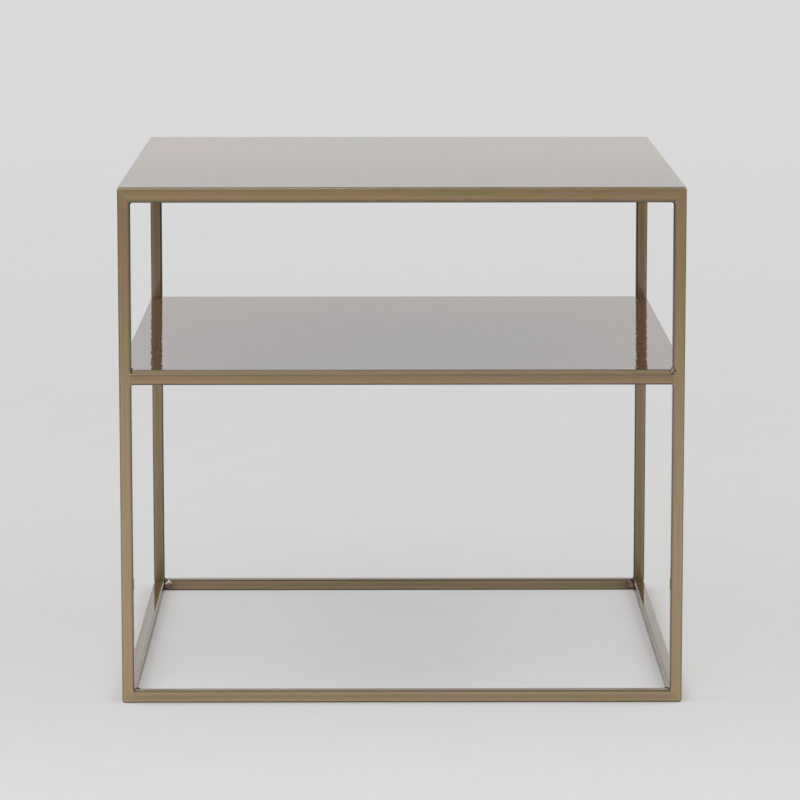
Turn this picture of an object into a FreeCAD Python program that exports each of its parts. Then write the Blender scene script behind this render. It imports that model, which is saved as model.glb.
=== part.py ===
import FreeCAD, Part
import math
import os

# Side table: a welded frame of square tube with a sheet top and a sheet shelf.
# Millimetres, +Z up. The origin is on the floor under the middle of the table.
# The front is at -Y and the left is at -X.

# Overall sizes
table_width = 550.0
table_depth = 550.0
frame_height = 506.0
shelf_rail_height = 316.0

# Square tube of the legs and rails
tube_side = 12.0
tube_wall = 1.5
tube_corner_radius = 1.8
bore_corner_radius = 0.4

# Outer corners of the front and back frames, ground round where they stand on the floor
ground_corner_radius = 3.0

# Top sheet, laid over the frame, and its rounded upper edge
top_sheet_thickness = 3.0
top_sheet_edge_radius = 2.0
top_sheet_corner_radius = 2.6

# Shelf sheet, laid on the shelf rails and cut out round the legs
shelf_sheet_thickness = 3.0
shelf_sheet_edge_radius = 1.0
leg_notch_clearance = 1.0

# Weld beads in the inner corners of the frame. Those between two base rails are the heaviest.
top_bead_leg = 1.8
shelf_bead_leg = 0.8
base_bead_leg = 1.0
base_rail_bead_leg = 8.0

# Weld beads between the legs and the shelf sheet, which is slotted for them at its notches
notch_bead_leg = 1.6

# Tack weld that closes one notch of the shelf sheet at the front
notch_tack_depth = 3.0

# Stitch welds between the rails and the undersides of the sheets
stitch_length = 20.0
stitch_leg = 2.2
stitch_place_shares = (0.12, 0.5, 0.88)

# Ground welds that fill the grooves beside the tubes' rounded edges
top_seam_recess = 0.0
shelf_seam_recess = 0.35
joint_recess = 0.0

# Shares of the sizes that they follow
bead_crown_share = 0.58
chord_share = 0.5
root_share = 0.4
fill_width_share = 0.75
fill_depth_share = 0.6
edge_round_limit_share = 0.95
arc_middle_share = 1 - math.sqrt(0.5)

# Planes that the pieces share
half_width = table_width / 2
half_depth = table_depth / 2
inner_x = half_width - tube_side
inner_y = half_depth - tube_side
leg_x = half_width - tube_side / 2
leg_y = half_depth - tube_side / 2
top_rail_bottom = frame_height - tube_side
shelf_rail_top = shelf_rail_height + tube_side
shelf_top = shelf_rail_top + shelf_sheet_thickness
tube_flat = tube_side - 2 * tube_corner_radius

X = FreeCAD.Vector(1, 0, 0)
Y = FreeCAD.Vector(0, 1, 0)
Z = FreeCAD.Vector(0, 0, 1)
x_sides = {"left": -1, "right": 1}
y_sides = {"front": -1, "back": 1}


def point(x, y, z):
    return FreeCAD.Vector(x, y, z)


def rounded_face(corners, radii):
    """Flat face with square corners, each rounded to its own radius. Zero keeps a corner sharp."""
    stretches = []
    for index, corner in enumerate(corners):
        radius = radii[index]
        back = (corners[index - 1] - corner).normalize()
        ahead = (corners[(index + 1) % len(corners)] - corner).normalize()
        stretches.append((corner + back * radius, corner + ahead * radius, corner, back + ahead, radius))
    edges = []
    for index, (start, end, corner, inward, radius) in enumerate(stretches):
        if radius > 0:
            middle = corner + inward * (radius * arc_middle_share)
            edges.append(Part.Arc(start, middle, end).toShape())
        following = stretches[(index + 1) % len(stretches)][0]
        edges.append(Part.LineSegment(end, following).toShape())
    return Part.Face(Part.Wire(edges))


def square_bar(start, along, side, radius):
    """Solid square bar with rounded long edges, from start, as long as the vector along."""
    across = Y if abs(along.x) > 0 else X
    other = Y if abs(along.z) > 0 else Z
    half = side / 2
    signs = ((-1, -1), (1, -1), (1, 1), (-1, 1))
    corners = [start + across * (half * a) + other * (half * b) for a, b in signs]
    return rounded_face(corners, [radius] * len(corners)).extrude(along)


def tube(start, along):
    """Length of the square tube, cut square at both ends."""
    outside = square_bar(start, along, tube_side, tube_corner_radius)
    bore = square_bar(start, along, tube_side - 2 * tube_wall, bore_corner_radius)
    return outside.cut(bore)


def frame_prism(outline, radii, y_side):
    """Block as deep as a tube, with an outline in X and Z, at the front or back frame."""
    front = y_side * leg_y - tube_side / 2
    corners = [point(x, front, z) for x, z in outline]
    return rounded_face(corners, radii).extrude(Y * tube_side)


def ground_outline(y_side):
    """Whole outline of the front or back frame, with its two floor corners ground round."""
    outline = (
        (-half_width, 0),
        (half_width, 0),
        (half_width, frame_height),
        (-half_width, frame_height),
    )
    radii = (ground_corner_radius, ground_corner_radius, 0, 0)
    return frame_prism(outline, radii, y_side)


def mitred(blank, outline, y_side):
    """Tube blank cut to its mitres, then ground with the frame that it belongs to."""
    mitres = frame_prism(outline, [0] * len(outline), y_side)
    return blank.common(mitres).common(ground_outline(y_side))


def make_leg(x_side, y_side):
    outer = x_side * half_width
    inner = x_side * inner_x
    outline = ((outer, 0), (inner, tube_side), (inner, top_rail_bottom), (outer, frame_height))
    blank = tube(point(x_side * leg_x, y_side * leg_y, 0), Z * frame_height)
    return mitred(blank, outline, y_side)


def make_mitred_rail(outer_z, inner_z, y_side):
    """Top or base rail of the front or back frame, between the mitres of its two legs."""
    outline = ((-half_width, outer_z), (half_width, outer_z), (inner_x, inner_z), (-inner_x, inner_z))
    blank = tube(point(-half_width, y_side * leg_y, (outer_z + inner_z) / 2), X * table_width)
    return mitred(blank, outline, y_side)


def make_side_rail(x_side, bottom):
    """Rail that runs front to back, butted between the front and back frames."""
    return tube(point(x_side * leg_x, -inner_y, bottom + tube_side / 2), Y * (2 * inner_y))


def make_shelf_cross_rail(y_side):
    """Front or back shelf rail, butted between two legs."""
    start = point(-inner_x, y_side * leg_y, shelf_rail_height + tube_side / 2)
    return tube(start, X * (2 * inner_x))


def round_upper_edges(sheet, radius, top):
    """Rounds the long outer edges of a sheet's upper face."""
    outer_edges = []
    for edge in sheet.Edges:
        box = edge.BoundBox
        on_top = box.ZMin > top - radius
        on_side = min(abs(abs(box.Center.x) - half_width), abs(abs(box.Center.y) - half_depth)) < radius
        if on_top and on_side:
            outer_edges.append(edge)
    return sheet.makeFillet(radius, outer_edges)


def table_corners(z):
    return [
        point(-half_width, -half_depth, z),
        point(half_width, -half_depth, z),
        point(half_width, half_depth, z),
        point(-half_width, half_depth, z),
    ]


def make_top_sheet():
    corners = table_corners(frame_height)
    sheet = rounded_face(corners, [top_sheet_corner_radius] * len(corners)).extrude(Z * top_sheet_thickness)
    limit = edge_round_limit_share * min(top_sheet_corner_radius, top_sheet_thickness)
    radius = min(top_sheet_edge_radius, limit)
    return round_upper_edges(sheet, radius, frame_height + top_sheet_thickness)


def make_shelf_sheet(notch_beads):
    """Shelf sheet, notched round the legs, with a slot for each bead that joins it to a leg."""
    corners = table_corners(shelf_rail_top)
    sheet = rounded_face(corners, [0] * len(corners)).extrude(Z * shelf_sheet_thickness)
    notch = tube_side + leg_notch_clearance
    for x_side in x_sides.values():
        for y_side in y_sides.values():
            middle_x = x_side * (half_width - notch / 2)
            middle_y = y_side * (half_depth - notch / 2)
            start = point(middle_x, middle_y, shelf_rail_top)
            sheet = sheet.cut(square_bar(start, Z * shelf_sheet_thickness, notch, 0))
    radius = min(shelf_sheet_edge_radius, edge_round_limit_share * shelf_sheet_thickness)
    return round_upper_edges(sheet, radius, shelf_top).cut(notch_beads)


def edge_fall(span):
    """How far a tube's rounded edge lies below its flat side, at this distance from the sharp corner."""
    radius = tube_corner_radius
    return radius - math.sqrt(radius ** 2 - (radius - span) ** 2)


def groove_fill(corner, face, depth, along, recess):
    """Ground weld in the groove beside a tube's rounded edge, as long as the vector along.

    corner is where that edge would be if it were sharp. face runs from there over the tube's visible
    side, and depth runs inwards. recess is how far the weld lies below that side.
    """
    shallow = max(recess, edge_fall(tube_corner_radius * fill_width_share))
    deep = tube_corner_radius * fill_depth_share
    levels = (shallow, (shallow + deep) / 2, deep)
    outer, middle, inner = [corner + depth * level + face * edge_fall(level) for level in levels]
    wall_inner = corner + depth * deep
    wall_outer = corner + depth * recess
    outline = [inner, wall_inner, wall_outer]
    if shallow > recess:
        outline.append(outer - depth * (shallow - recess))
    outline.append(outer)
    edges = [Part.LineSegment(*pair).toShape() for pair in zip(outline, outline[1:])]
    edges.append(Part.Arc(outer, middle, inner).toShape())
    return Part.Face(Part.Wire(edges)).extrude(along)


def cross_seam(sheet_bottom, half_length, y_side, recess):
    """Ground weld between a sheet and its front or back rail."""
    corner = point(-half_length, y_side * half_depth, sheet_bottom)
    return groove_fill(corner, -Z, Y * -y_side, X * (2 * half_length), recess)


def top_cross_seams(legs):
    """Ground welds at the front and back of the top, cut round the legs and rounded as the sheet is."""
    corners = table_corners(top_rail_bottom)
    outline = rounded_face(corners, [top_sheet_corner_radius] * len(corners)).extrude(Z * tube_side)
    seams = []
    for y_side in y_sides.values():
        seam = cross_seam(frame_height, half_width, y_side, top_seam_recess).common(outline)
        seams.append(seam.cut(legs))
    return Part.makeCompound(seams)


def shelf_cross_seams():
    """Ground welds at the front and back of the shelf, between the legs."""
    half_length = inner_x - leg_notch_clearance
    seams = []
    for y_side in y_sides.values():
        seams.append(cross_seam(shelf_rail_top, half_length, y_side, shelf_seam_recess))
    return Part.makeCompound(seams)


def side_seams(sheet_bottom, recess):
    """Ground welds between a sheet and its side rails."""
    fills = []
    for x_side in x_sides.values():
        corner = point(x_side * half_width, -inner_y, sheet_bottom)
        fills.append(groove_fill(corner, -Z, X * -x_side, Y * (2 * inner_y), recess))
    return Part.makeCompound(fills)


def joint_fill(corner, face, depth, rail_end):
    """Ground weld beside a butted rail's end, rounded above and below as the rail is."""
    fill = groove_fill(corner, face, depth, Z * tube_side, joint_recess)
    return fill.common(square_bar(rail_end, face * tube_side, tube_side, tube_corner_radius))


def joint_fills(bottom, with_cross_rails):
    """Ground welds on the outside of the joints where the rails of one level are butted."""
    middle_z = bottom + tube_side / 2
    fills = []
    for x_side in x_sides.values():
        for y_side in y_sides.values():
            corner = point(x_side * half_width, y_side * inner_y, bottom)
            rail_end = point(x_side * leg_x, y_side * inner_y, middle_z)
            fills.append(joint_fill(corner, Y * y_side, X * -x_side, rail_end))
            if with_cross_rails:
                corner = point(x_side * inner_x, y_side * half_depth, bottom)
                rail_end = point(x_side * inner_x, y_side * leg_y, middle_z)
                fills.append(joint_fill(corner, X * x_side, Y * -y_side, rail_end))
    return Part.makeCompound(fills)


def corner_bead(corner, across, up, along, leg, root_depth=0):
    """Weld bead in an inner corner, along a tube's flat width. Its root may also fill a slot below."""
    start = corner - along * (tube_flat / 2)
    foot = start + across * leg
    head = start + up * leg
    crown = start + (across + up) * (leg * bead_crown_share)
    outline = [foot, start - up * root_depth, head]
    if root_depth > 0:
        outline.insert(1, foot - up * root_depth)
    edges = [Part.LineSegment(*pair).toShape() for pair in zip(outline, outline[1:])]
    edges.append(Part.Arc(head, crown, foot).toShape())
    return Part.Face(Part.Wire(edges)).extrude(along * tube_flat)


def frame_corner_beads(corner_z, up, rail_middle_z, leg, between_leg):
    """Three beads at each corner where a leg, a cross rail and a side rail meet."""
    beads = []
    for x_side in x_sides.values():
        for y_side in y_sides.values():
            in_x = X * -x_side
            in_y = Y * -y_side
            in_frame = point(x_side * inner_x, y_side * leg_y, corner_z)
            on_side_rail = point(x_side * leg_x, y_side * inner_y, corner_z)
            between_rails = point(x_side * inner_x, y_side * inner_y, rail_middle_z)
            beads.append(corner_bead(in_frame, in_x, up, Y, leg))
            beads.append(corner_bead(on_side_rail, in_y, up, X, leg))
            beads.append(corner_bead(between_rails, in_x, in_y, Z, between_leg))
    return Part.makeCompound(beads)


def make_notch_beads():
    """Beads from the side rails up through the shelf sheet, each against a leg."""
    beads = []
    for x_side in x_sides.values():
        for y_side in y_sides.values():
            corner = point(x_side * leg_x, y_side * inner_y, shelf_top)
            beads.append(corner_bead(corner, Y * -y_side, Z, X, notch_bead_leg, shelf_sheet_thickness))
    return Part.makeCompound(beads)


def make_notch_tack(x_side, y_side):
    """Tack weld in a notch's gap at the table's outer face, up to the leg's rounded edge."""
    in_x = X * -x_side
    in_y = Y * -y_side
    leg_edge = point(x_side * inner_x, y_side * half_depth, shelf_rail_top)
    centre = leg_edge - in_x * tube_corner_radius + in_y * tube_corner_radius
    on_face = centre - in_y * tube_corner_radius
    on_round = centre + (in_x - in_y) * (tube_corner_radius * math.sqrt(0.5))
    on_side = centre + in_x * tube_corner_radius
    inner_leg = leg_edge + in_y * notch_tack_depth
    inner_sheet = inner_leg + in_x * leg_notch_clearance
    outer_sheet = leg_edge + in_x * leg_notch_clearance
    edges = [
        Part.Arc(on_face, on_round, on_side).toShape(),
        Part.LineSegment(on_side, inner_leg).toShape(),
        Part.LineSegment(inner_leg, inner_sheet).toShape(),
        Part.LineSegment(inner_sheet, outer_sheet).toShape(),
        Part.LineSegment(outer_sheet, on_face).toShape(),
    ]
    return Part.Face(Part.Wire(edges)).extrude(Z * shelf_sheet_thickness)


def stitch(corner, inward, along):
    """Stitch weld under a sheet, in the corner above a rail's inner side and in the groove there."""
    radius = tube_corner_radius
    root = radius * root_share
    start = corner - along * (stitch_length / 2)
    centre = start - inward * radius - Z * radius
    root_top = start - inward * root
    root_reach = radius - root
    root_bottom = centre + inward * root_reach + Z * math.sqrt(radius ** 2 - root_reach ** 2)
    side = centre + inward * radius
    half_angle = math.acos(root_reach / radius) / 2
    on_round = centre + inward * (radius * math.cos(half_angle)) + Z * (radius * math.sin(half_angle))
    foot = side - Z * stitch_leg
    head = start + inward * stitch_leg
    chord_middle = (foot + head) * chord_share
    crown = chord_middle + (inward - Z) * (stitch_leg * (bead_crown_share - chord_share))
    edges = [
        Part.LineSegment(root_top, root_bottom).toShape(),
        Part.Arc(root_bottom, on_round, side).toShape(),
        Part.LineSegment(side, foot).toShape(),
        Part.Arc(foot, crown, head).toShape(),
        Part.LineSegment(head, root_top).toShape(),
    ]
    return Part.Face(Part.Wire(edges)).extrude(along * stitch_length)


def sheet_stitches(sheet_bottom):
    """Stitch welds along the inner sides of the four rails that carry a sheet."""
    stitches = []
    for share in stitch_place_shares:
        along_x = inner_x * (2 * share - 1)
        along_y = inner_y * (2 * share - 1)
        for y_side in y_sides.values():
            stitches.append(stitch(point(along_x, y_side * inner_y, sheet_bottom), Y * -y_side, X))
        for x_side in x_sides.values():
            stitches.append(stitch(point(x_side * inner_x, along_y, sheet_bottom), X * -x_side, Y))
    return Part.makeCompound(stitches)


pieces = {}

for y_name, y_side in y_sides.items():
    for x_name, x_side in x_sides.items():
        pieces[f"leg_{y_name}_{x_name}"] = make_leg(x_side, y_side)
    pieces[f"top_rail_{y_name}"] = make_mitred_rail(frame_height, top_rail_bottom, y_side)
    pieces[f"base_rail_{y_name}"] = make_mitred_rail(0, tube_side, y_side)
    pieces[f"shelf_rail_{y_name}"] = make_shelf_cross_rail(y_side)

for x_name, x_side in x_sides.items():
    pieces[f"top_rail_{x_name}"] = make_side_rail(x_side, top_rail_bottom)
    pieces[f"shelf_rail_{x_name}"] = make_side_rail(x_side, shelf_rail_height)
    pieces[f"base_rail_{x_name}"] = make_side_rail(x_side, 0)

pieces["top_sheet"] = make_top_sheet()
pieces["welds_shelf_notches"] = make_notch_beads()
pieces["shelf_sheet"] = make_shelf_sheet(pieces["welds_shelf_notches"])

legs = Part.makeCompound([pieces[f"leg_{y_name}_{x_name}"] for y_name in y_sides for x_name in x_sides])
pieces["seams_top_cross"] = top_cross_seams(legs)
pieces["seams_top_sides"] = side_seams(frame_height, top_seam_recess)
pieces["seams_shelf_cross"] = shelf_cross_seams()
pieces["seams_shelf_sides"] = side_seams(shelf_rail_top, shelf_seam_recess)

pieces["ground_welds_top"] = joint_fills(top_rail_bottom, False)
pieces["ground_welds_shelf"] = joint_fills(shelf_rail_height, True)
pieces["ground_welds_base"] = joint_fills(0, False)

top_rail_middle = top_rail_bottom + tube_side / 2
shelf_rail_middle = shelf_rail_height + tube_side / 2
base_rail_middle = tube_side / 2
for level, corner_z, up, middle, leg, between_leg in (
    ("top", top_rail_bottom, -Z, top_rail_middle, top_bead_leg, top_bead_leg),
    ("shelf", shelf_rail_height, -Z, shelf_rail_middle, shelf_bead_leg, shelf_bead_leg),
    ("base", tube_side, Z, base_rail_middle, base_bead_leg, base_rail_bead_leg),
):
    pieces[f"welds_{level}_corners"] = frame_corner_beads(corner_z, up, middle, leg, between_leg)
pieces["tack_shelf_front_right"] = make_notch_tack(x_sides["right"], y_sides["front"])
pieces["welds_top_sheet"] = sheet_stitches(frame_height)
pieces["welds_shelf_sheet"] = sheet_stitches(shelf_rail_top)

os.makedirs("parts", exist_ok=True)
for name, shape in pieces.items():
    shape.exportStep(f"parts/{name}.step")
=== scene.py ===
import math
import random

import bmesh
import bpy
import mathutils.noise
from mathutils import Matrix, Vector


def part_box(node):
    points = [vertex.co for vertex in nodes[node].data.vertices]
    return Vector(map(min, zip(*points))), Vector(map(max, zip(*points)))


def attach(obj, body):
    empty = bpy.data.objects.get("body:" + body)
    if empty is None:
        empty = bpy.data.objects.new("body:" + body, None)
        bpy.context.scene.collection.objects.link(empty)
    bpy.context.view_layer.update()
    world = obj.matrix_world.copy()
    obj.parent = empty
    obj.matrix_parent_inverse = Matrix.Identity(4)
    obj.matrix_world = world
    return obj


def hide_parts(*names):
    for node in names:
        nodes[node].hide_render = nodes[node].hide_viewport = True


# Side table of bronze-lacquered square tube with a sheet top and a sheet shelf.
# Metres, +Z up. The origin is on the floor under the middle of the table.
MILLIMETRE = 0.001

# Camera, as the photograph was taken
camera_place = (-0.0222, -3.9513, 0.8837)
camera_turn = math.radians(0.315)
camera_pitch = math.radians(8.283)
camera_roll = math.radians(-0.013)
camera_lens = 172.27
camera_shift = -0.06
camera_sensor = 36.0
camera_reach = 200.0

# Studio round the table: radiance seen in the lacquer from each side, and the backdrop's own colour.
# The ranges are components of the direction in which it turns from one level to the next.
world_front = 0.22
world_back = 0.97
world_back_high = 1.09
world_side = 0.62
world_top = 0.80
front_to_back = (-0.6, 0.8)
back_to_high = (0.115, 0.160)
back_to_side = (0.35, 0.9)
side_to_top = (0.30, 0.85)
world_fill_share = 0.80
backdrop_colour = (0.688, 0.688, 0.688, 1)

# Floor: its colour to the camera, and a painted pool of light, the brighter tone that it throws on the
# table, which fades with distance
floor_reach = 40.0
floor_colour = (0.700, 0.693, 0.686, 1)
bounce_near = 0.95
bounce_far = 0.12
bounce_near_radius = 1.7
bounce_far_radius = 4.2
floor_broad_pattern = {"size": (0.9, 0.5, 1.0), "detail": 3.0}
floor_scuff_pattern = {"size": (0.07, 0.04, 0.1), "detail": 5.0, "roughness": 0.65}
floor_tones = (0.985, 1.0)

# Steady backdrop tone that the floor turns into: its share under, beside and far from the table,
# and its level from front to back as (place along Y, level)
glow_share_under = 0.45
glow_share_contact = 0.0
glow_share_beside = 0.70
glow_share_far = 0.98
glow_far_radius = 2.5
contact_width = 0.020
glow_levels = (
    (-0.65, 0.716), (-0.32, 0.670), (0.0, 0.662), (0.5, 0.652), (1.0, 0.680), (1.6, 0.680),
    (2.5, 0.680), (4.0, 0.695), (7.0, 0.710),
)

# Lamps: place, size, power in watts
lamps = {
    "left_softbox": ((-1.9, -0.2, 1.6), 2.2, 33.0),
    "right_softbox": ((1.9, -0.2, 1.6), 2.2, 33.0),
    "front_softbox": ((-0.6, -3.3, 2.3), 1.1, 24.0),
}
lamp_aim = Vector((0, 0, 0.15))

# Range of a noise pattern between its dark and its light places
pattern_range = (0.3, 0.7)

# Lacquer over steel
patina_dark = (0.290, 0.205, 0.110, 1)
patina_brown = (0.360, 0.252, 0.136, 1)
patina_bronze = (0.392, 0.284, 0.146, 1)
patina_olive = (0.354, 0.284, 0.120, 1)
patina_pink = (0.418, 0.278, 0.170, 1)
patina_edge = (0.320, 0.236, 0.128, 1)
patina_rose = (0.386, 0.252, 0.150, 1)
patina_grey = (0.330, 0.264, 0.164, 1)
patina_pink_cloud = (0.408, 0.248, 0.163, 1)
patina_sheet = (0.350, 0.244, 0.140, 1)
# Weld colours: near-black painted shadow, heat-darkened metal, and cream painted highlight
weld_painted_shadow = (0.015, 0.012, 0.010, 1)
weld_dark = (0.110, 0.082, 0.055, 1)
weld_brown = (0.190, 0.140, 0.085, 1)
weld_painted_highlight = (0.950, 0.860, 0.680, 1)
weld_coat = 0.5
grazing_share = 0.62
cool_share = (0.10, 0.30)
coat_ior = 1.5
side_coat_ior = 1.8
tube_coat_roughness = 0.03
cross_coat_roughness = 0.28
sheet_coat_roughness = 0.02
tube_peel = 0.012 * MILLIMETRE
cross_rail_peel = 0.030 * MILLIMETRE
sheet_peel = 0.070 * MILLIMETRE
weld_grit = 0.05 * MILLIMETRE

# Patterns in the tubes' lacquer: streaks and grain as length and width, and their tones
streak_size = (0.14, 0.0045)
streak_shift = 3.1
streak_detail = 2.5
streak_stops = (
    (0.28, patina_brown), (0.42, patina_pink), (0.52, patina_bronze), (0.64, patina_olive),
    (0.78, patina_brown),
)
grain_size = (0.030, 0.0005)
grain_detail = 3.0
grain_roughness = 0.6
grain_tones = (0.88, 1.08)
tube_roughness = (0.46, 0.56)
speck_pattern = {"size": (0.0011, 0.0011, 0.0011), "detail": 2.0, "roughness": 0.7}
speck_tones = (0.86, 1.08)
ground_speck_tones = (0.66, 1.26)
tube_peel_pattern = {"size": (0.005, 0.005, 0.005), "detail": 1.0}
seam_edge_share = 0.5

# Patterns in the sheets' lacquer
wander_pattern = {"size": (0.11, 0.13, 0.3), "detail": 3.0, "roughness": 0.55, "shift": 1.7}
wander_stops = ((0.32, patina_rose), (0.46, patina_sheet), (0.60, patina_dark))
wander_range = (0.25, 0.75)
cloud_wander = 0.35
cloud_fade = (0.45, 1.25)
sheet_grain_pattern = {"size": (0.012, 0.012, 0.012), "detail": 4.0, "roughness": 0.6}
sheet_grain_tones = (0.95, 1.04)
sheet_roughness = (0.48, 0.54)
sheet_peel_pattern = {"size": (0.006, 0.014, 0.01), "detail": 2.0}

# Patterns in the weld beads' lacquer, and the tone ranges of painted shadow and painted highlight
heat_pattern = {"size": (0.003, 0.003, 0.003), "detail": 3.0}
heat_stops = ((0.35, weld_dark), (0.65, weld_brown))
grit_pattern = {"size": (0.0006, 0.0006, 0.0006), "detail": 2.0}
painted_shadow_tones = (-0.9, -0.1)
painted_highlight_tones = (0.1, 0.9)
weld_roughness = 0.42

# Rounded edges of the tubes, as part.py has them, and width of the sheets' shaded edges
tube_corner_radius = 0.0018
sheet_edge_width = 0.0017

# Painted light and shade across the tubes' faces, as (distance from the face's middle, level), upwards
# or outwards: painted highlight lines inside the rounded edges, painted shade on the edges and under seams
front_leg_levels = (
    (-0.0056, 0.25), (-0.0050, 0.55), (-0.0040, 0.88), (-0.0026, 1.02), (-0.0010, 1.03), (0.0005, 0.98),
    (0.0025, 1.00), (0.0038, 1.06), (0.0048, 0.85), (0.0055, 0.45),
)
back_leg_levels = (
    (-0.0056, 0.20), (-0.0049, 0.55), (-0.0040, 1.12), (-0.0028, 1.02), (-0.0010, 0.97), (0.0010, 0.97),
    (0.0026, 1.06), (0.0038, 1.25), (0.0047, 0.85), (0.0054, 0.35),
)
top_rail_levels = (
    (-0.0056, 0.20), (-0.0048, 0.50), (-0.0035, 0.78), (-0.0024, 0.95), (-0.0011, 1.12), (0.0004, 1.03),
    (0.0024, 0.94), (0.0044, 0.88), (0.0052, 0.98),
)
shelf_rail_levels = (
    (-0.0055, 0.10), (-0.0048, 0.50), (-0.0040, 1.05), (-0.0032, 1.12), (-0.0010, 0.99), (0.0010, 0.94),
    (0.0028, 0.86), (0.0042, 0.70), (0.0052, 0.96),
)
base_rail_levels = (
    (-0.0056, 0.15), (-0.0048, 0.50), (-0.0040, 1.22), (-0.0028, 1.00), (-0.0010, 0.87), (0.0006, 0.86),
    (0.0024, 0.92), (0.0035, 1.12), (0.0045, 0.78), (0.0054, 0.50),
)
plain_levels = ((0.0, 1.0), (0.0035, 1.02), (0.0045, 0.80), (0.0056, 0.30))
side_rail_levels = ((-0.0056, 0.85), (0.0, 1.0), (0.0056, 1.0))

# Share of the plain colour on each rail, and at the foot and head of each leg: painted light and shade,
# darkest on the back legs and on the back and side rails
rail_painted_shades = {"top": 0.98, "shelf": 0.90, "base": 1.0}
back_rail_painted_shade = 0.84
side_rail_painted_shade = 0.72
leg_painted_shades = {
    "leg_front_left": (1.05, 0.93),
    "leg_front_right": (1.00, 1.03),
    "leg_back_left": (0.72, 0.75),
    "leg_back_right": (0.71, 1.06),
}
leg_painted_shade_reach = (0.20, 0.52)
joint_fade = (0.0052, 0.0072)
aside_fall = 0.03
seam_shades = {"top": 1.0, "shelf": 0.96}

# Clouds on the sheets: middle and reach along X and Y, colour. Painted shade of each sheet in front and
# at the back
top_clouds = (
    ((0.02, 0.23), (0.24, 0.11), patina_grey),
    ((-0.235, 0.165), (0.050, 0.085), patina_pink_cloud),
    ((0.24, 0.04), (0.10, 0.16), patina_rose),
)
shelf_clouds = (
    ((0.06, -0.06), (0.15, 0.18), patina_grey),
    ((0.0, -0.25), (0.24, 0.10), patina_grey),
    ((-0.24, 0.22), (0.10, 0.08), patina_rose),
)
wander_share = 0.32
top_painted_shades = (0.74, 0.94)
shelf_painted_shades = (0.79, 0.80)
shelf_bow = 1.1 * MILLIMETRE

# Painted highlight and shade on a sheet's edge, as its level by height above its underside
top_edge_light_levels = ((0.0, 1.10), (0.0008, 1.14), (0.0015, 0.90), (0.0024, 0.76), (0.0030, 0.74))
shelf_edge_light_levels = ((0.0, 1.0), (0.0010, 1.08), (0.0018, 1.08), (0.0024, 0.54), (0.0030, 0.50))

# Weld beads, as part.py places them
bead_legs = {"top": (0.0018, 0.0018), "shelf": (0.0008, 0.0008), "base": (0.0010, 0.0080)}
notch_bead_leg = 0.0016
heavy_bead_length = 0.0108
heavy_bead_skew = 0.0032
bead_crown_share = 0.58
bead_sink = 0.05 * MILLIMETRE
bead_floor_gap = 0.2 * MILLIMETRE
bead_step = 0.2 * MILLIMETRE
bead_columns = 12
least_stations = 8
taper_share = 0.6
end_share = 0.2
swell_share = 0.07
swell_turn = 9
ripple_length = 1.1 * MILLIMETRE
ripple_height_share = 0.05
ripple_bow_share = 0.5
bead_seeds = {"top": 3, "shelf": 5, "base": 4, "notch": 40}

# Painted highlight arcs, painted glints and painted shadow at the toes of the beads, as shares across
# and along a bead
rim_highlight_levels = {(-1, 1): 1.0, (1, 1): 0.35}
rim_share = 0.10
arc_places = {"over_end": 0.85, "at_toe": 0.90, "at_foot": 0.10}
arc_levels = {"over_end": 1.0, "at_toe": 0.7, "at_foot": 0.8}
over_end_rise = 4
toe_arc_range = (0.4, 0.9)
foot_arc_end = 0.5
arc_gain = 1.4
highlight_wander = (0.7, 1.0)
least_highlight = 0.2
speck_share = 0.05
speck_tone = 0.7
toe_share = 0.10

# Tack weld on the front of the shelf's right notch: how far its middle is outside the leg's inner
# face and below the shelf's top, and its reach along X and Z
tack_aside = 0.4 * MILLIMETRE
tack_drop = 2.0 * MILLIMETRE
tack_reach = (0.0033, 0.0031)
tack_height = 0.45 * MILLIMETRE
tack_lump_height = 0.55 * MILLIMETRE
tack_lump_size = 0.9 * MILLIMETRE
# Painted highlights on the tack's raised lumps and painted shadow between them, and the rings and spokes of
# its mesh
tack_contrast = 3.0
tack_bias = 0.08
tack_painted_tones = (-0.9, 0.8)
tack_rings = 12
tack_spokes = 40

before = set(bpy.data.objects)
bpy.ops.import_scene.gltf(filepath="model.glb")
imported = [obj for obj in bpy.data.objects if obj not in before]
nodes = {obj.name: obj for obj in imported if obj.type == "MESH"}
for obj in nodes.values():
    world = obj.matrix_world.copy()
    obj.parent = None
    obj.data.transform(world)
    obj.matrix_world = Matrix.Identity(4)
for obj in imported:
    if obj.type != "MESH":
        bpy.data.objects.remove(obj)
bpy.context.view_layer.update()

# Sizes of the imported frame
leg_low, leg_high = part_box("leg_front_right")
table_half = leg_high.x
inner_edge = leg_low.x
tube_side = table_half - inner_edge
tube_middle = (table_half + inner_edge) / 2
tube_flat = tube_side - 2 * tube_corner_radius
rail_boxes = [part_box(f"{level}_rail_front") for level in ("base", "shelf", "top")]
rail_middles = [(low.z + high.z) / 2 for low, high in rail_boxes]
shelf_low, shelf_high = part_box("shelf_sheet")
shelf_top = shelf_high.z
sheet_thickness = shelf_top - shelf_low.z
sheet_edge_start = table_half - sheet_edge_width
tack_middle = Vector((inner_edge + tack_aside, -table_half, shelf_top - tack_drop))

X, Y, Z = Vector((1, 0, 0)), Vector((0, 1, 0)), Vector((0, 0, 1))


def add(tree, kind, inputs=(), **settings):
    """Adds a shader node. An input is a plain value, or another node's output to link."""
    made = tree.nodes.new(kind)
    for name, value in settings.items():
        setattr(made, name, value)
    for key, value in dict(inputs).items():
        if isinstance(value, bpy.types.NodeSocket):
            tree.links.new(value, made.inputs[key])
        else:
            made.inputs[key].default_value = value
    return made


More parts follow.
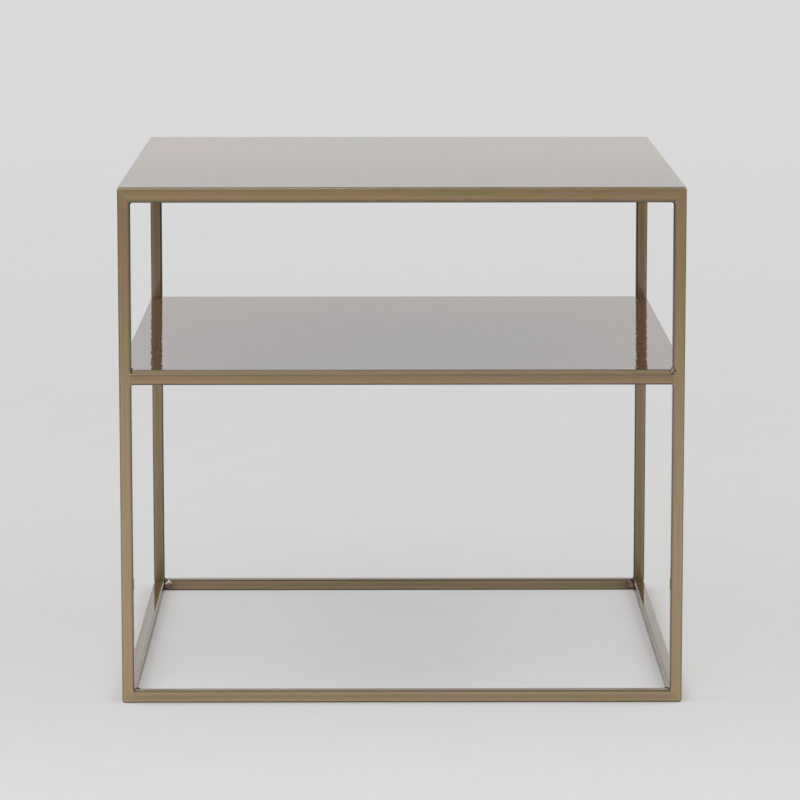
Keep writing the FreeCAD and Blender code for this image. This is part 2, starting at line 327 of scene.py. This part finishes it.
def ramp(tree, factor, stops):
    """Colour ramp with stops of (position, colour)."""
    made = add(tree, "ShaderNodeValToRGB", {"Fac": factor})
    elements = made.color_ramp.elements
    while len(elements) < len(stops):
        elements.new(0.5)
    for element, (position, colour) in zip(elements, stops):
        element.position = position
        element.color = colour
    return made.outputs["Color"]


def spread(tree, value, low, high, to_low=0.0, to_high=1.0):
    """Maps a value's range from low to high onto another, with soft ends."""
    inputs = {"Value": value, "From Min": low, "From Max": high, "To Min": to_low, "To Max": to_high}
    made = add(tree, "ShaderNodeMapRange", inputs, interpolation_type="SMOOTHSTEP")
    return made.outputs["Result"]


def mixed(tree, share, first, second, blend="MIX"):
    """Mix of two colours by a share."""
    made = add(tree, "ShaderNodeMix", data_type="RGBA", blend_type=blend)
    for index, value in ((0, share), (6, first), (7, second)):
        if isinstance(value, bpy.types.NodeSocket):
            tree.links.new(value, made.inputs[index])
        else:
            made.inputs[index].default_value = value
    return made.outputs[2]


def level_between(tree, share, first, second):
    """Number between two others by a share."""
    return add(tree, "ShaderNodeMix", {0: share, 2: first, 3: second}).outputs[0]


def maths(tree, operation, first, second=0.0):
    return add(tree, "ShaderNodeMath", {0: first, 1: second}, operation=operation).outputs[0]


def grey(level):
    return (level, level, level, 1)


def cool_grey(level):
    """Grey that turns cooler where it is dark."""
    dark = max(0.0, 1 - level)
    return (level, level + cool_share[0] * dark, level + cool_share[1] * dark, 1)


def grey_of(tree, level):
    """Grey colour of a level that varies."""
    return add(tree, "ShaderNodeCombineColor", {"Red": level, "Green": level, "Blue": level}).outputs["Color"]


def coordinates(tree):
    """The three coordinates of a place on the table."""
    place = add(tree, "ShaderNodeTexCoord").outputs["Object"]
    axes = add(tree, "ShaderNodeSeparateXYZ", {"Vector": place})
    return {name: axes.outputs[name] for name in "XYZ"}


def noise(tree, size, detail=2.0, roughness=0.5, shift=0.0):
    """Noise whose features have this size in metres along X, Y and Z."""
    place = add(tree, "ShaderNodeTexCoord").outputs["Object"]
    scale = tuple(1 / length for length in size)
    inputs = {"Vector": place, "Scale": scale, "Location": (shift, shift, shift)}
    mapping = add(tree, "ShaderNodeMapping", inputs)
    inputs = {"Vector": mapping.outputs["Vector"], "Scale": 1.0, "Detail": detail, "Roughness": roughness}
    return add(tree, "ShaderNodeTexNoise", inputs).outputs["Fac"]


def shaded_by(tree, colour, pattern, dark, light):
    """Colour made darker and lighter by a pattern."""
    low, high = pattern_range
    return mixed(tree, 1.0, colour, ramp(tree, pattern, ((low, grey(dark)), (high, grey(light)))), "MULTIPLY")


def new_material(name):
    made = bpy.data.materials.new(name)
    made.use_nodes = True
    made.node_tree.nodes.clear()
    return made, made.node_tree


def make_camera():
    forward = Vector((
        math.sin(camera_turn) * math.cos(camera_pitch),
        math.cos(camera_turn) * math.cos(camera_pitch),
        -math.sin(camera_pitch),
    ))
    right = Vector((math.cos(camera_turn), -math.sin(camera_turn), 0))
    up = right.cross(forward)
    rolled_right = right * math.cos(camera_roll) + up * math.sin(camera_roll)
    rolled_up = up * math.cos(camera_roll) - right * math.sin(camera_roll)
    data = bpy.data.cameras.new("camera")
    data.lens = camera_lens
    data.sensor_width = camera_sensor
    data.shift_y = camera_shift
    data.clip_end = camera_reach
    camera = bpy.data.objects.new("camera", data)
    turned = Matrix((rolled_right, rolled_up, -forward)).transposed().to_4x4()
    camera.matrix_world = Matrix.Translation(camera_place) @ turned
    bpy.context.scene.collection.objects.link(camera)
    bpy.context.scene.camera = camera


def make_world():
    """Soft studio all round. The camera sees the backdrop's colour instead."""
    world = bpy.data.worlds.new("studio")
    world.use_nodes = True
    tree = world.node_tree
    tree.nodes.clear()
    direction = add(tree, "ShaderNodeTexCoord").outputs["Generated"]
    axes = add(tree, "ShaderNodeSeparateXYZ", {"Vector": direction})
    aside = maths(tree, "ABSOLUTE", axes.outputs["X"])
    back = spread(tree, axes.outputs["Z"], *back_to_high, world_back, world_back_high)
    level = spread(tree, axes.outputs["Y"], *front_to_back, world_front, back)
    level = level_between(tree, spread(tree, aside, *back_to_side), level, world_side)
    level = level_between(tree, spread(tree, axes.outputs["Z"], *side_to_top), level, world_top)
    rays = add(tree, "ShaderNodeLightPath")
    fill = level_between(tree, rays.outputs["Is Diffuse Ray"], 1.0, world_fill_share)
    studio = add(tree, "ShaderNodeBackground", {"Strength": maths(tree, "MULTIPLY", level, fill)})
    backdrop = add(tree, "ShaderNodeBackground", {"Color": backdrop_colour})
    inputs = {0: rays.outputs["Is Camera Ray"], 1: studio.outputs[0], 2: backdrop.outputs[0]}
    both = add(tree, "ShaderNodeMixShader", inputs)
    add(tree, "ShaderNodeOutputWorld", {"Surface": both.outputs[0]})
    bpy.context.scene.world = world


def make_lamps():
    for name, (place, size, power) in lamps.items():
        data = bpy.data.lights.new(name, "AREA")
        data.size = size
        data.energy = power
        lamp = bpy.data.objects.new(name, data)
        lamp.location = place
        lamp.rotation_euler = (lamp_aim - Vector(place)).to_track_quat("-Z", "Y").to_euler()
        lamp.visible_camera = False
        bpy.context.scene.collection.objects.link(lamp)


def glow_share(tree, place):
    """Share of the steady backdrop tone at a place on the floor."""
    axes = add(tree, "ShaderNodeSeparateXYZ", {"Vector": place})
    along_x, along_y = (maths(tree, "ABSOLUTE", axes.outputs[name]) for name in "XY")
    reach = maths(tree, "MAXIMUM", along_x, along_y)
    contact_end = table_half + contact_width
    outside = spread(tree, reach, table_half, contact_end, glow_share_contact, glow_share_beside)
    is_outside = maths(tree, "GREATER_THAN", reach, table_half)
    beside = level_between(tree, is_outside, glow_share_under, outside)
    distance = add(tree, "ShaderNodeVectorMath", {0: place}, operation="LENGTH").outputs["Value"]
    return level_between(tree, spread(tree, distance, table_half, glow_far_radius), beside, glow_share_far)


def glow_colour(tree, place):
    """Level of the steady backdrop tone, from the front of the floor to the back."""
    front, back = glow_levels[0][0], glow_levels[-1][0]
    along_y = add(tree, "ShaderNodeSeparateXYZ", {"Vector": place}).outputs["Y"]
    inputs = {"Value": along_y, "From Min": front, "From Max": back}
    share = add(tree, "ShaderNodeMapRange", inputs).outputs["Result"]
    return ramp(tree, share, [((y - front) / (back - front), grey(level)) for y, level in glow_levels])


def floor_material():
    """Pale painted floor that turns into a steady backdrop away from the table."""
    made, tree = new_material("studio_floor")
    place = add(tree, "ShaderNodeTexCoord").outputs["Object"]
    broad = noise(tree, **floor_broad_pattern)
    scuffs = noise(tree, **floor_scuff_pattern)
    camera_ray = add(tree, "ShaderNodeLightPath").outputs["Is Camera Ray"]
    distance = add(tree, "ShaderNodeVectorMath", {0: place}, operation="LENGTH").outputs["Value"]
    # Painted pool of light: to all but camera rays the floor is paler near the table and darker far off
    bounce = spread(tree, distance, bounce_near_radius, bounce_far_radius, bounce_near, bounce_far)
    colour = mixed(tree, camera_ray, grey_of(tree, bounce), floor_colour)
    colour = shaded_by(tree, colour, broad, *floor_tones)
    colour = shaded_by(tree, colour, scuffs, *floor_tones)
    lit = add(tree, "ShaderNodeBsdfDiffuse", {"Color": colour})
    steady = shaded_by(tree, glow_colour(tree, place), scuffs, *floor_tones)
    glow = add(tree, "ShaderNodeEmission", {"Color": steady})
    share = maths(tree, "MULTIPLY", glow_share(tree, place), camera_ray)
    both = add(tree, "ShaderNodeMixShader", {0: share, 1: lit.outputs[0], 2: glow.outputs[0]})
    add(tree, "ShaderNodeOutputMaterial", {"Surface": both.outputs[0]})
    return made


def make_floor():
    mesh = bpy.data.meshes.new("floor")
    signs = ((-1, -1), (1, -1), (1, 1), (-1, 1))
    mesh.from_pydata([(a * floor_reach, b * floor_reach, 0) for a, b in signs], [], [(0, 1, 2, 3)])
    mesh.materials.append(floor_material())
    floor = bpy.data.objects.new("floor", mesh)
    bpy.context.scene.collection.objects.link(floor)


def lacquered(tree, colour, roughness, coat_roughness, bump, coat=1.0, ior=coat_ior):
    """Clear lacquer over tinted metal."""
    grazing = mixed(tree, 1.0, colour, grey(grazing_share), "MULTIPLY")
    shader = add(tree, "ShaderNodeBsdfPrincipled", {
        "Base Color": colour,
        "Metallic": 1.0,
        "Roughness": roughness,
        "Specular Tint": grazing,
        "Coat Weight": coat,
        "Coat Roughness": coat_roughness,
        "Coat IOR": ior,
        "Coat Normal": bump,
    })
    add(tree, "ShaderNodeOutputMaterial", {"Surface": shader.outputs[0]})


def along_axis(axis, length, width):
    """Feature size that is long on one axis."""
    return tuple(length if name == axis else width for name in "XYZ")


def off_middle(tree, place, middles):
    """Signed distance of a coordinate from the nearest of these tube middles."""
    nearest = maths(tree, "SUBTRACT", place, middles[0])
    for middle in middles[1:]:
        other = maths(tree, "SUBTRACT", place, middle)
        closer = maths(tree, "LESS_THAN", maths(tree, "ABSOLUTE", other), maths(tree, "ABSOLUTE", nearest))
        nearest = level_between(tree, closer, nearest, other)
    return nearest


def level_across(tree, offset, levels):
    """Painted light and shade at a signed distance from the middle of a tube's face."""
    reach = tube_side / 2
    inputs = {"Value": offset, "From Min": -reach, "From Max": reach}
    share = add(tree, "ShaderNodeMapRange", inputs).outputs["Result"]
    return ramp(tree, share, [((place + reach) / tube_side, cool_grey(level)) for place, level in levels])


def plain_across(tree, offset):
    """Painted light and shade at a distance from the middle of a face that has no levels of its own."""
    mirrored = [(-place, level) for place, level in reversed(plain_levels[1:])] + list(plain_levels)
    return level_across(tree, offset, mirrored)


def leg_painted_shading(tree, axes, levels):
    """Painted light and shade on a leg's faces, and the share that lies at a rail's joint."""
    off_rail = maths(tree, "ABSOLUTE", off_middle(tree, axes["Z"], rail_middles))
    at_rail = spread(tree, off_rail, *joint_fade, 1.0, 0.0)
    shades = []
    for name, face_levels in (("X", levels), ("Y", None)):
        outward = maths(tree, "SUBTRACT", maths(tree, "ABSOLUTE", axes[name]), tube_middle)
        inner = maths(tree, "LESS_THAN", outward, 0.0)
        joined = maths(tree, "MULTIPLY", inner, at_rail)
        smoothed = maths(tree, "MULTIPLY", outward, maths(tree, "SUBTRACT", 1.0, joined))
        shade = level_across(tree, smoothed, face_levels) if face_levels else plain_across(tree, smoothed)
        shades.append((maths(tree, "ABSOLUTE", outward), shade, joined))
    (x_reach, x_shade, x_joined), (y_reach, y_shade, y_joined) = shades
    on_y_face = maths(tree, "LESS_THAN", x_reach, y_reach)
    ground = level_between(tree, on_y_face, y_joined, x_joined)
    return mixed(tree, on_y_face, y_shade, x_shade), ground


def rail_painted_shading(tree, axes, axis, levels):
    """Painted light and shade on a rail's faces: its upright faces by height, and its others from edge to
    edge.
    """
    side = "Y" if axis == "X" else "X"
    off_side = off_middle(tree, axes[side], (-tube_middle, tube_middle))
    off_height = off_middle(tree, axes["Z"], rail_middles)
    height_reach, side_reach = (maths(tree, "ABSOLUTE", offset) for offset in (off_height, off_side))
    upright = maths(tree, "LESS_THAN", height_reach, side_reach)
    flat = plain_across(tree, off_side) if axis == "X" else level_across(tree, off_side, side_rail_levels)
    return mixed(tree, upright, flat, level_across(tree, off_height, levels))


def streaked(tree, axis):
    """Bronze in long streaks along a tube."""
    streaks = noise(tree, along_axis(axis, *streak_size), detail=streak_detail, shift=streak_shift)
    return ramp(tree, streaks, streak_stops)


def finish_tube(tree, axis, colour, peel_height, coat_roughness, coat=1.0, ior=coat_ior, ground=0.0):
    """Grain, specks and lacquer of a tube. Where it is ground, the specks are coarser."""
    grain = noise(tree, along_axis(axis, *grain_size), detail=grain_detail, roughness=grain_roughness)
    colour = shaded_by(tree, colour, grain, *grain_tones)
    specks = noise(tree, **speck_pattern)
    fine = shaded_by(tree, colour, specks, *speck_tones)
    colour = mixed(tree, ground, fine, shaded_by(tree, colour, specks, *ground_speck_tones))
    roughness = spread(tree, grain, *pattern_range, *tube_roughness)
    peel = noise(tree, **tube_peel_pattern)
    bump = add(tree, "ShaderNodeBump", {"Height": peel, "Distance": peel_height}).outputs["Normal"]
    lacquered(tree, colour, roughness, coat_roughness, bump, coat, ior)


def coat_over(tree, shade):
    """Thickness of the clear coat, which is thinner where the painted shade is dark, so shaded edges stay
    dark.
    """
    level = add(tree, "ShaderNodeRGBToBW", {"Color": shade}).outputs["Val"]
    return maths(tree, "MINIMUM", level, 1.0)


def leg_lacquer(name, levels):
    """Bronze lacquer of one leg, with painted light and shade that change from its foot to its head."""
    made, tree = new_material(f"tube_lacquer_{name}")
    axes = coordinates(tree)
    shade, ground = leg_painted_shading(tree, axes, levels)
    colour = mixed(tree, 1.0, streaked(tree, "Z"), shade, "MULTIPLY")
    height = spread(tree, axes["Z"], *leg_painted_shade_reach, *leg_painted_shades[name])
    colour = mixed(tree, 1.0, colour, grey_of(tree, height), "MULTIPLY")
    coat = coat_over(tree, shade)
    finish_tube(tree, "Z", colour, tube_peel, tube_coat_roughness, coat, ground=ground)
    return made


def rail_lacquer(name, axis, levels, shade):
    """Bronze lacquer of rails along an axis, with painted light and shade. Cross rails are darker on the
    right.
    """
    made, tree = new_material(f"tube_lacquer_{name}")
    axes = coordinates(tree)
    painted_shading = rail_painted_shading(tree, axes, axis, levels)
    colour = mixed(tree, 1.0, streaked(tree, axis), painted_shading, "MULTIPLY")
    across = axis == "X"
    fall = aside_fall if across else 0.0
    aside = spread(tree, axes["X"], -table_half, table_half, shade * (1 + fall), shade * (1 - fall))
    colour = mixed(tree, 1.0, colour, grey_of(tree, aside), "MULTIPLY")
    peel = cross_rail_peel if across else tube_peel
    coat_roughness = cross_coat_roughness if across else tube_coat_roughness
    ior = coat_ior if across else side_coat_ior
    finish_tube(tree, axis, colour, peel, coat_roughness, coat_over(tree, painted_shading), ior)
    return made


def seam_lacquer(name, axis, shade):
    """Bronze lacquer on a weld that is ground flush with a sheet's edge."""
    made, tree = new_material(f"seam_lacquer_{name}")
    colour = mixed(tree, seam_edge_share, streaked(tree, axis), patina_edge)
    colour = mixed(tree, 1.0, colour, grey(shade), "MULTIPLY")
    finish_tube(tree, axis, colour, tube_peel, tube_coat_roughness)
    return made


def cloud(tree, axes, middle, reach, wander):
    """Share of a soft cloud at a place on a sheet."""
    squares = []
    for name, centre, length in zip("XY", middle, reach):
        away = maths(tree, "DIVIDE", maths(tree, "SUBTRACT", axes[name], centre), length)
        squares.append(maths(tree, "MULTIPLY", away, away))
    distance = maths(tree, "SQRT", maths(tree, "ADD", *squares))
    uneven = spread(tree, wander, *wander_range, -cloud_wander, cloud_wander)
    return spread(tree, maths(tree, "ADD", distance, uneven), *cloud_fade, 1.0, 0.0)


def sheet_colour(tree, axes, clouds, shades):
    """Patina of a sheet: soft clouds over an uneven brown, with painted shade in front and at the back."""
    wander = noise(tree, **wander_pattern)
    colour = mixed(tree, wander_share, patina_sheet, ramp(tree, wander, wander_stops))
    for middle, reach, tone in clouds:
        colour = mixed(tree, cloud(tree, axes, middle, reach, wander), colour, tone)
    level = spread(tree, axes["Y"], -table_half, table_half / 2, *shades)
    return mixed(tree, 1.0, colour, grey_of(tree, level), "MULTIPLY")


def sheet_lacquer(name, clouds, shades, underside, edge_levels, bow=0.0):
    """Bronze lacquer over a patinated sheet, whose bump may show a slight bow from side to side."""
    made, tree = new_material(f"sheet_lacquer_{name}")
    axes = coordinates(tree)
    colour = sheet_colour(tree, axes, clouds, shades)
    along_x, along_y = (maths(tree, "ABSOLUTE", axes[axis]) for axis in "XY")
    # Painted highlight and shade on the sheet's edge, by height
    at_edge = maths(tree, "GREATER_THAN", maths(tree, "MAXIMUM", along_x, along_y), sheet_edge_start)
    share = maths(tree, "DIVIDE", maths(tree, "SUBTRACT", axes["Z"], underside), sheet_thickness)
    stops = [(height / sheet_thickness, cool_grey(level)) for height, level in edge_levels]
    edge = mixed(tree, 1.0, patina_edge, ramp(tree, share, stops), "MULTIPLY")
    colour = mixed(tree, at_edge, colour, edge)
    grain = noise(tree, **sheet_grain_pattern)
    colour = shaded_by(tree, colour, grain, *sheet_grain_tones)
    roughness = spread(tree, grain, *pattern_range, *sheet_roughness)
    peel = maths(tree, "MULTIPLY", noise(tree, **sheet_peel_pattern), sheet_peel)
    aside = maths(tree, "DIVIDE", axes["X"], table_half)
    sag = maths(tree, "MULTIPLY", maths(tree, "MULTIPLY", aside, aside), bow)
    inputs = {"Height": maths(tree, "ADD", peel, sag), "Distance": 1.0}
    bump = add(tree, "ShaderNodeBump", inputs).outputs["Normal"]
    lacquered(tree, colour, roughness, sheet_coat_roughness, bump)
    return made


def weld_lacquer():
    """Thin lacquer over rippled, heat-darkened weld metal, with painted shadow in pits and painted highlights
    on crests.
    """
    made, tree = new_material("weld_lacquer_rippled")
    colour = ramp(tree, noise(tree, **heat_pattern), heat_stops)
    tone = add(tree, "ShaderNodeAttribute", attribute_name="tone").outputs["Fac"]
    colour = mixed(tree, spread(tree, tone, *painted_shadow_tones, 1.0, 0.0), colour, weld_painted_shadow)
    colour = mixed(tree, spread(tree, tone, *painted_highlight_tones), colour, weld_painted_highlight)
    grit = noise(tree, **grit_pattern)
    bump = add(tree, "ShaderNodeBump", {"Height": grit, "Distance": weld_grit}).outputs["Normal"]
    lacquered(tree, colour, weld_roughness, tube_coat_roughness, bump, weld_coat)
    return made


def bead_section(corner, wall_a, wall_b, leg, ripple_place):
    """Points of a fillet bead's surface from one wall to the other, with its ripple."""
    outward = (wall_a + wall_b).normalized()
    bulge = leg * (bead_crown_share * math.sqrt(2) - math.sqrt(0.5))
    points = []
    for column in range(bead_columns + 1):
        across = column / bead_columns
        arch = 4 * across * (1 - across)
        phase = (ripple_place + ripple_bow_share * leg * arch) / ripple_length
        ripple = leg * ripple_height_share * (abs(math.sin(math.pi * phase)) - 0.5) * min(1, 2 * arch)
        chord = wall_a * (leg * (1 - across)) + wall_b * (leg * across)
        points.append(corner + chord + outward * (bulge * arch + ripple))
    return points


def rim_arc(share, name):
    """How close a share across or along a bead is to one of its painted highlight arcs."""
    return 1 - abs(share - arc_places[name]) / rim_share


def bead_painted_light(across, along_share, rim_highlight, wander):
    """Painted light on a bead: painted highlight along part of its rim and in single glints, painted shadow
    at its toes.
    """
    arcs = {
        "over_end": min(1.0, over_end_rise * across) * rim_arc(along_share, "over_end"),
        "at_toe": rim_arc(across, "at_toe") if toe_arc_range[0] < along_share < toe_arc_range[1] else 0.0,
        "at_foot": rim_arc(along_share, "at_foot") if across < foot_arc_end else 0.0,
    }
    arc = max(0.0, *(arc_levels[name] * share for name, share in arcs.items()))
    highlight_level = rim_highlight * min(1.0, arc_gain * arc) * wander.uniform(*highlight_wander)
    if highlight_level > least_highlight:
        return highlight_level
    if wander.random() < speck_share:
        return speck_tone
    to_toe = min(across, 1 - across, along_share, 1 - along_share)
    return -max(0.0, 1 - to_toe / toe_share)


def add_bead(mesh, corner, wall_a, wall_b, along, length, leg, seed, skew=0.0, rim_highlight=0.0):
    """Rippled fillet bead, centred on corner, tapered at its ends and closed at its root."""
    tones = mesh.verts.layers.float.get("tone") or mesh.verts.layers.float.new("tone")
    wander = random.Random(seed)
    stations = max(least_stations, round(length / bead_step))
    swell_phase = wander.uniform(0, 2 * math.pi)
    sunk = corner - (wall_a + wall_b) * bead_sink
    rings = []
    for station in range(stations + 1):
        share = station / stations
        place = length * share
        to_end = min(place, length - place) / min(taper_share * leg, length / 2)
        taper = math.sqrt(max(0.0, 1 - (1 - min(1, to_end)) ** 2))
        swell = 1 + swell_share * math.sin(swell_phase + swell_turn * share)
        size = leg * max(end_share, taper) * swell
        root = sunk + along * (place - length / 2)
        ring = [mesh.verts.new(root)]
        for column, spot in enumerate(bead_section(root, wall_a, wall_b, size, place)):
            across = column / bead_columns
            vertex = mesh.verts.new(spot + along * (skew * (across - 0.5)))
            # Painted highlight or painted shadow at this point of the bead
            vertex[tones] = bead_painted_light(across, share, rim_highlight, wander)
            ring.append(vertex)
        rings.append(ring)
    count = len(rings[0])
    flip = wall_a.cross(wall_b).dot(along) < 0
    for ring, following in zip(rings, rings[1:]):
        for index in range(count):
            ahead = (index + 1) % count
            quad = [ring[index], following[index], following[ahead], ring[ahead]]
            mesh.faces.new(quad if flip else quad[::-1])
    mesh.faces.new(rings[0] if flip else rings[0][::-1])
    mesh.faces.new(rings[-1][::-1] if flip else rings[-1])


def finish_beads(mesh, name, replaced, material):
    """Turns a bead mesh into the piece that stands for a CAD weld node."""
    data = bpy.data.meshes.new(name)
    mesh.to_mesh(data)
    mesh.free()
    data.materials.append(material)
    for polygon in data.polygons:
        polygon.use_smooth = len(polygon.vertices) == 4
    piece = bpy.data.objects.new(name, data)
    bpy.context.scene.collection.objects.link(piece)
    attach(piece, "root")
    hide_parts(replaced)


def settle(mesh, middle_z):
    """Draws the lower halves of beads up where their ends would reach into the floor."""
    lowest = min(vertex.co.z for vertex in mesh.verts)
    share = min(1.0, (middle_z - bead_floor_gap) / (middle_z - lowest))
    for vertex in mesh.verts:
        if vertex.co.z < middle_z:
            vertex.co.z = middle_z + (vertex.co.z - middle_z) * share


def make_corner_beads(level, corner_z, up, middle_z, material):
    """Three beads at each corner of one level: in the frame, on the side rail, and between the two rails."""
    mesh = bmesh.new()
    leg, between_leg = bead_legs[level]
    heavy = between_leg > tube_side / 2
    length, skew = (heavy_bead_length, heavy_bead_skew) if heavy else (tube_flat, 0.0)
    seed = bead_seeds[level]
    for x_sign in (-1, 1):
        for y_sign in (-1, 1):
            in_x, in_y = X * -x_sign, Y * -y_sign
            in_frame = Vector((x_sign * inner_edge, y_sign * tube_middle, corner_z))
            on_side_rail = Vector((x_sign * tube_middle, y_sign * inner_edge, corner_z))
            between_rails = Vector((x_sign * inner_edge, y_sign * inner_edge, middle_z))
            # Only the heavy beads between the base rails get a painted highlight along their rims
            rim_highlight = rim_highlight_levels.get((x_sign, y_sign), 0.0) if heavy else 0.0
            add_bead(mesh, in_frame, in_x, up, Y, tube_flat, leg, seed)
            add_bead(mesh, on_side_rail, in_y, up, X, tube_flat, leg, seed + 1)
            add_bead(mesh, between_rails, in_y, in_x, Z, length, between_leg, seed + 2, skew, rim_highlight)
            seed += 3
    settle(mesh, middle_z)
    finish_beads(mesh, f"beads_{level}_corners", f"welds_{level}_corners", material)


def make_notch_beads(material):
    """Beads on the shelf, along the legs' sides at its notches."""
    mesh = bmesh.new()
    seed = bead_seeds["notch"]
    for x_sign in (-1, 1):
        for y_sign in (-1, 1):
            corner = Vector((x_sign * tube_middle, y_sign * inner_edge, shelf_top))
            add_bead(mesh, corner, Y * -y_sign, Z, X, tube_flat, notch_bead_leg, seed)
            seed += 1
    finish_beads(mesh, "beads_shelf_notches", "welds_shelf_notches", material)


def tack_spot(angle, share):
    """Place on the tack weld's lumpy face, and how far it is raised there."""
    x_place = tack_reach[0] * share * math.cos(angle)
    z_place = tack_reach[1] * share * math.sin(angle)
    lump = mathutils.noise.noise(Vector((x_place, 0, z_place)) / tack_lump_size)
    raised = max(0.0, 1 - share ** 2)
    height = tack_height * raised + tack_lump_height * max(0.0, lump) * min(1, 2 * raised)
    return tack_middle + Vector((x_place, -height, z_place)), lump * min(1, 2 * raised)


def make_tack(material):
    """Low lumpy tack weld over the right end of the shelf's front edge, with painted highlights on its lumps
    and painted shadow between them.
    """
    mesh = bmesh.new()
    tones = mesh.verts.layers.float.new("tone")
    crown = mesh.verts.new(tack_spot(0, 0)[0])
    rings = []
    for ring_index in range(1, tack_rings + 1):
        ring = []
        for spoke in range(tack_spokes):
            place, lump = tack_spot(2 * math.pi * spoke / tack_spokes, ring_index / tack_rings)
            vertex = mesh.verts.new(place)
            darkest, palest = tack_painted_tones
            # Painted highlight on raised lumps, painted shadow in the hollows
            vertex[tones] = min(palest, max(darkest, tack_contrast * (lump - tack_bias)))
            ring.append(vertex)
        rings.append(ring)
    rings.append([mesh.verts.new(vertex.co + Y * tack_height) for vertex in rings[-1]])
    for index in range(tack_spokes):
        ahead = (index + 1) % tack_spokes
        mesh.faces.new((crown, rings[0][index], rings[0][ahead]))
        for ring, following in zip(rings, rings[1:]):
            mesh.faces.new((ring[index], following[index], following[ahead], ring[ahead]))
    mesh.faces.new(rings[-1][::-1])
    bmesh.ops.recalc_face_normals(mesh, faces=mesh.faces)
    finish_beads(mesh, "tack_front_right", "tack_shelf_front_right", material)


def dress(names, material):
    """Gives carried-over CAD nodes their finish."""
    for name in names:
        for slot in nodes[name].material_slots:
            slot.material = material


make_camera()
make_world()
make_lamps()
make_floor()

for name in leg_painted_shades:
    dress([name], leg_lacquer(name, front_leg_levels if "front" in name else back_leg_levels))

for level, levels in (("top", top_rail_levels), ("shelf", shelf_rail_levels), ("base", base_rail_levels)):
    shade = rail_painted_shades[level]
    dress([f"{level}_rail_front"], rail_lacquer(f"{level}_front", "X", levels, shade))
    dress([f"{level}_rail_back"], rail_lacquer(f"{level}_back", "X", levels, shade * back_rail_painted_shade))
    finish = rail_lacquer(f"{level}_sides", "Y", side_rail_levels, shade * side_rail_painted_shade)
    dress([f"{level}_rail_left", f"{level}_rail_right"], finish)
for level, shade in seam_shades.items():
    dress([f"seams_{level}_cross"], seam_lacquer(f"{level}_cross", "X", shade))
    dress([f"seams_{level}_sides"], seam_lacquer(f"{level}_sides", "Y", shade))
dress(["ground_welds_top", "ground_welds_shelf", "ground_welds_base"], seam_lacquer("joints", "Z", 1.0))

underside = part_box("top_sheet")[0].z
dress(["top_sheet"], sheet_lacquer("top", top_clouds, top_painted_shades, underside, top_edge_light_levels))
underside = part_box("shelf_sheet")[0].z
finish = sheet_lacquer("shelf", shelf_clouds, shelf_painted_shades, underside, shelf_edge_light_levels, shelf_bow)
dress(["shelf_sheet"], finish)

lacquer_weld = weld_lacquer()
dress(["welds_top_sheet", "welds_shelf_sheet"], lacquer_weld)
for level, up in (("top", -Z), ("shelf", -Z), ("base", Z)):
    low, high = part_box(f"{level}_rail_front")
    corner_z = high.z if up.z > 0 else low.z
    make_corner_beads(level, corner_z, up, (low.z + high.z) / 2, lacquer_weld)
make_notch_beads(lacquer_weld)
make_tack(lacquer_weld)

bpy.context.scene.view_settings.view_transform = "Standard"
